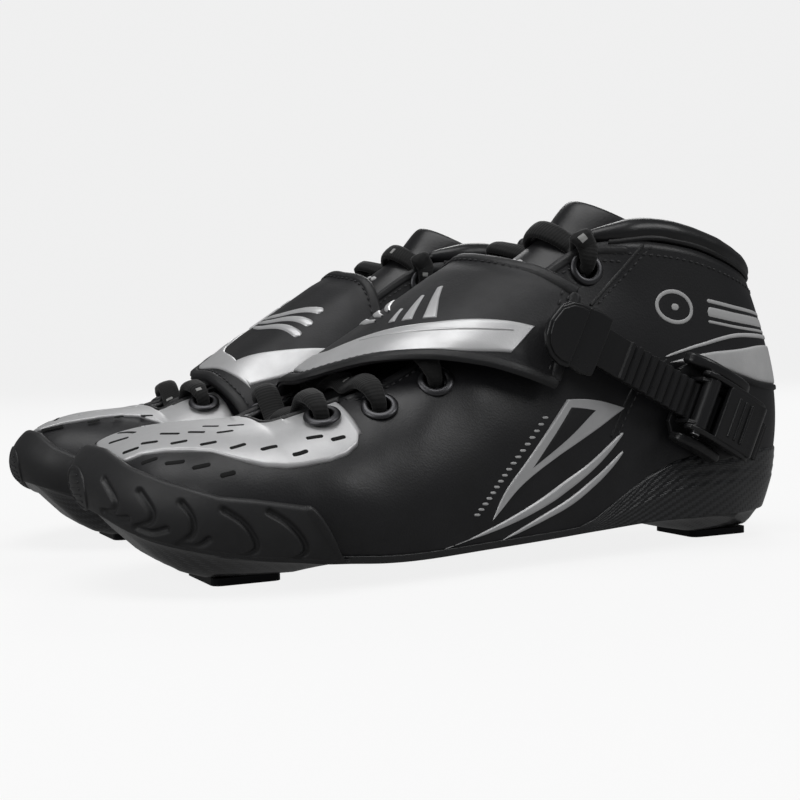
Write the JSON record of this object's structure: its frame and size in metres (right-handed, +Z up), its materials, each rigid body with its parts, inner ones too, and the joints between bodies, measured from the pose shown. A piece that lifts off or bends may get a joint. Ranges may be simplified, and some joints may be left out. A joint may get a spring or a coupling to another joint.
{
  "type": "pair of speed skate boots",
  "caption": "Pair of low-cut speed skate boots with carbon shells, lace-up leather uppers, and instep straps on ratchet buckles; two-point plates underneath take a blade or wheel frame.",
  "frame": {"origin": "on the ground under the middle of the pair's bounding box", "axes": "+Z up, toes towards -Y, heels towards +Y, the left boot at +X and the right boot at -X"},
  "size_m": [0.2274, 0.2765, 0.131],
  "materials": {
    "carbon": "woven carbon-fibre laminate under clear gloss resin",
    "leather": "smooth black synthetic leather with a soft sheen",
    "silver": "silver-coated synthetic leather, satin",
    "rubber": "satin black moulded rubber",
    "padding": "padded smooth black synthetic leather",
    "foam": "dark fabric-covered foam",
    "lace": "flat woven black lace",
    "moulded": "black moulded nylon, semi-gloss",
    "steel": "turned steel",
    "alloy": "black anodised",
    "gunmetal": "dark gunmetal plating"
  },
  "bodies": {
    "left_boot": {"left_shell": "carbon", "left_upper": "leather", "left_toe_bumper": "rubber", "left_toe_cap": "silver", "left_collar_lining": "padding", "left_tongue": "padding", "left_footbed": "foam", "left_lace": "lace", "left_strap": "leather", "left_front_mount": "alloy", "left_heel_mount": "alloy", "left_buckle_base": "moulded", "left_lever_pin": "steel", "left_catch_pin": "steel", "left_catch_spring": "steel", "left_buckle_screw": "steel", "left_eyelet_outer_1": "gunmetal", "left_eyelet_outer_2": "gunmetal", "left_eyelet_outer_3": "gunmetal", "left_eyelet_outer_4": "gunmetal", "left_eyelet_outer_5": "gunmetal", "left_eyelet_inner_1": "gunmetal", "left_eyelet_inner_2": "gunmetal", "left_eyelet_inner_3": "gunmetal", "left_eyelet_inner_4": "gunmetal", "left_eyelet_inner_5": "gunmetal"},
    "left_ladder": {"left_ladder": "moulded", "left_strap_clamp": "moulded"},
    "left_lever": {"left_buckle_lever": "moulded"},
    "left_catch": {"left_buckle_catch": "moulded"},
    "right_boot": {"right_shell": "carbon", "right_upper": "leather", "right_toe_bumper": "rubber", "right_toe_cap": "silver", "right_collar_lining": "padding", "right_tongue": "padding", "right_footbed": "foam", "right_lace": "lace", "right_strap": "leather", "right_front_mount": "alloy", "right_heel_mount": "alloy", "right_buckle_base": "moulded", "right_lever_pin": "steel", "right_catch_pin": "steel", "right_catch_spring": "steel", "right_buckle_screw": "steel", "right_eyelet_outer_1": "gunmetal", "right_eyelet_outer_2": "gunmetal", "right_eyelet_outer_3": "gunmetal", "right_eyelet_outer_4": "gunmetal", "right_eyelet_outer_5": "gunmetal", "right_eyelet_inner_1": "gunmetal", "right_eyelet_inner_2": "gunmetal", "right_eyelet_inner_3": "gunmetal", "right_eyelet_inner_4": "gunmetal", "right_eyelet_inner_5": "gunmetal"},
    "right_ladder": {"right_ladder": "moulded", "right_strap_clamp": "moulded"},
    "right_lever": {"right_buckle_lever": "moulded"},
    "right_catch": {"right_buckle_catch": "moulded"}
  },
  "joints": [
    {"name": "right_boot_apart", "type": "slide", "parent": "left_boot", "child": "right_boot", "axis": [-1, 0, 0], "range_m": [0, 0.15]},
    {"name": "left_ladder_slide", "type": "slide", "parent": "left_boot", "child": "left_ladder", "axis": [-0.0699, 0.8883, -0.454], "range_m": [-0.008, 0.006]},
    {"name": "left_lever_hinge", "type": "hinge", "parent": "left_boot", "child": "left_lever", "pos_m": [0.10827, 0.07668, 0.05324], "axis": [0.0356, -0.4526, -0.891], "range_deg": [0, 70]},
    {"name": "left_catch_hinge", "type": "hinge", "parent": "left_boot", "child": "left_catch", "pos_m": [0.10614, 0.0935, 0.04461], "axis": [-0.0356, 0.4526, 0.891], "range_deg": [0, 8], "stiffness_Nm_per_rad": 0.02, "springref_deg": -5.73},
    {"name": "right_ladder_slide", "type": "slide", "parent": "right_boot", "child": "right_ladder", "axis": [0.0699, 0.8883, -0.454], "range_m": [-0.008, 0.006]},
    {"name": "right_lever_hinge", "type": "hinge", "parent": "right_boot", "child": "right_lever", "pos_m": [-0.10827, 0.07668, 0.05324], "axis": [0.0356, 0.4526, 0.891], "range_deg": [0, 70]},
    {"name": "right_catch_hinge", "type": "hinge", "parent": "right_boot", "child": "right_catch", "pos_m": [-0.10614, 0.0935, 0.04461], "axis": [-0.0356, -0.4526, -0.891], "range_deg": [0, 8], "stiffness_Nm_per_rad": 0.02, "springref_deg": -5.73}
  ]
}
